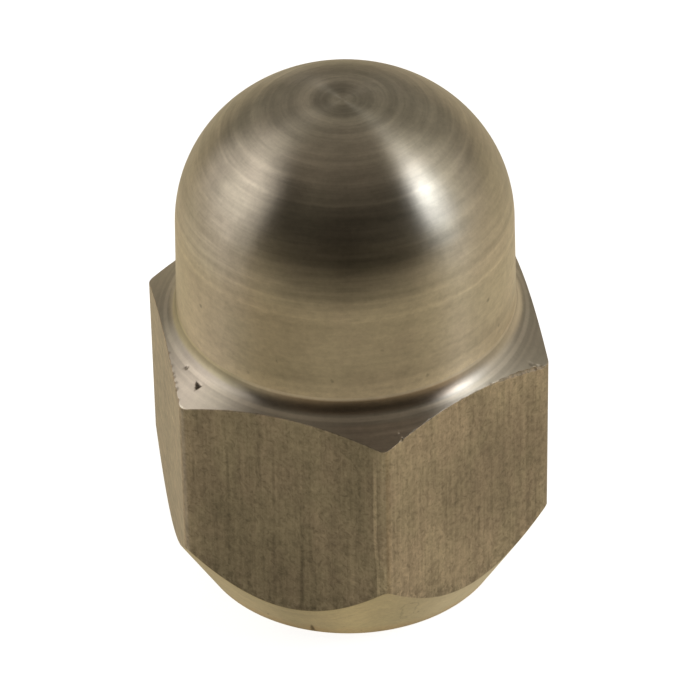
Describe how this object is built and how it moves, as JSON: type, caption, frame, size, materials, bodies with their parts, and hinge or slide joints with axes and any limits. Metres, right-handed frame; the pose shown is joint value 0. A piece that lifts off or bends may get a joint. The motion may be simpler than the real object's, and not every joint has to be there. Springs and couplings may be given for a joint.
{
  "type": "lug nut",
  "caption": "Closed-end lug nut with a domed barrel, chamfered hexagon, 60 degree conical seat and a blind threaded hole.",
  "frame": {"origin": "centre of the open end face, which the nut stands on", "axes": "+Z along the nut's axis towards the domed end; two hexagon corners lie on the Y axis and two flats face +X and -X"},
  "size_m": [0.022, 0.0252, 0.0327],
  "materials": {
    "machined_steel": "bare turned stainless steel with circular tool marks on the dome, barrel and cones and drawn, mottled hexagon flats"
  },
  "bodies": {
    "root": {"lug_nut": "machined_steel"}
  },
  "joints": []
}
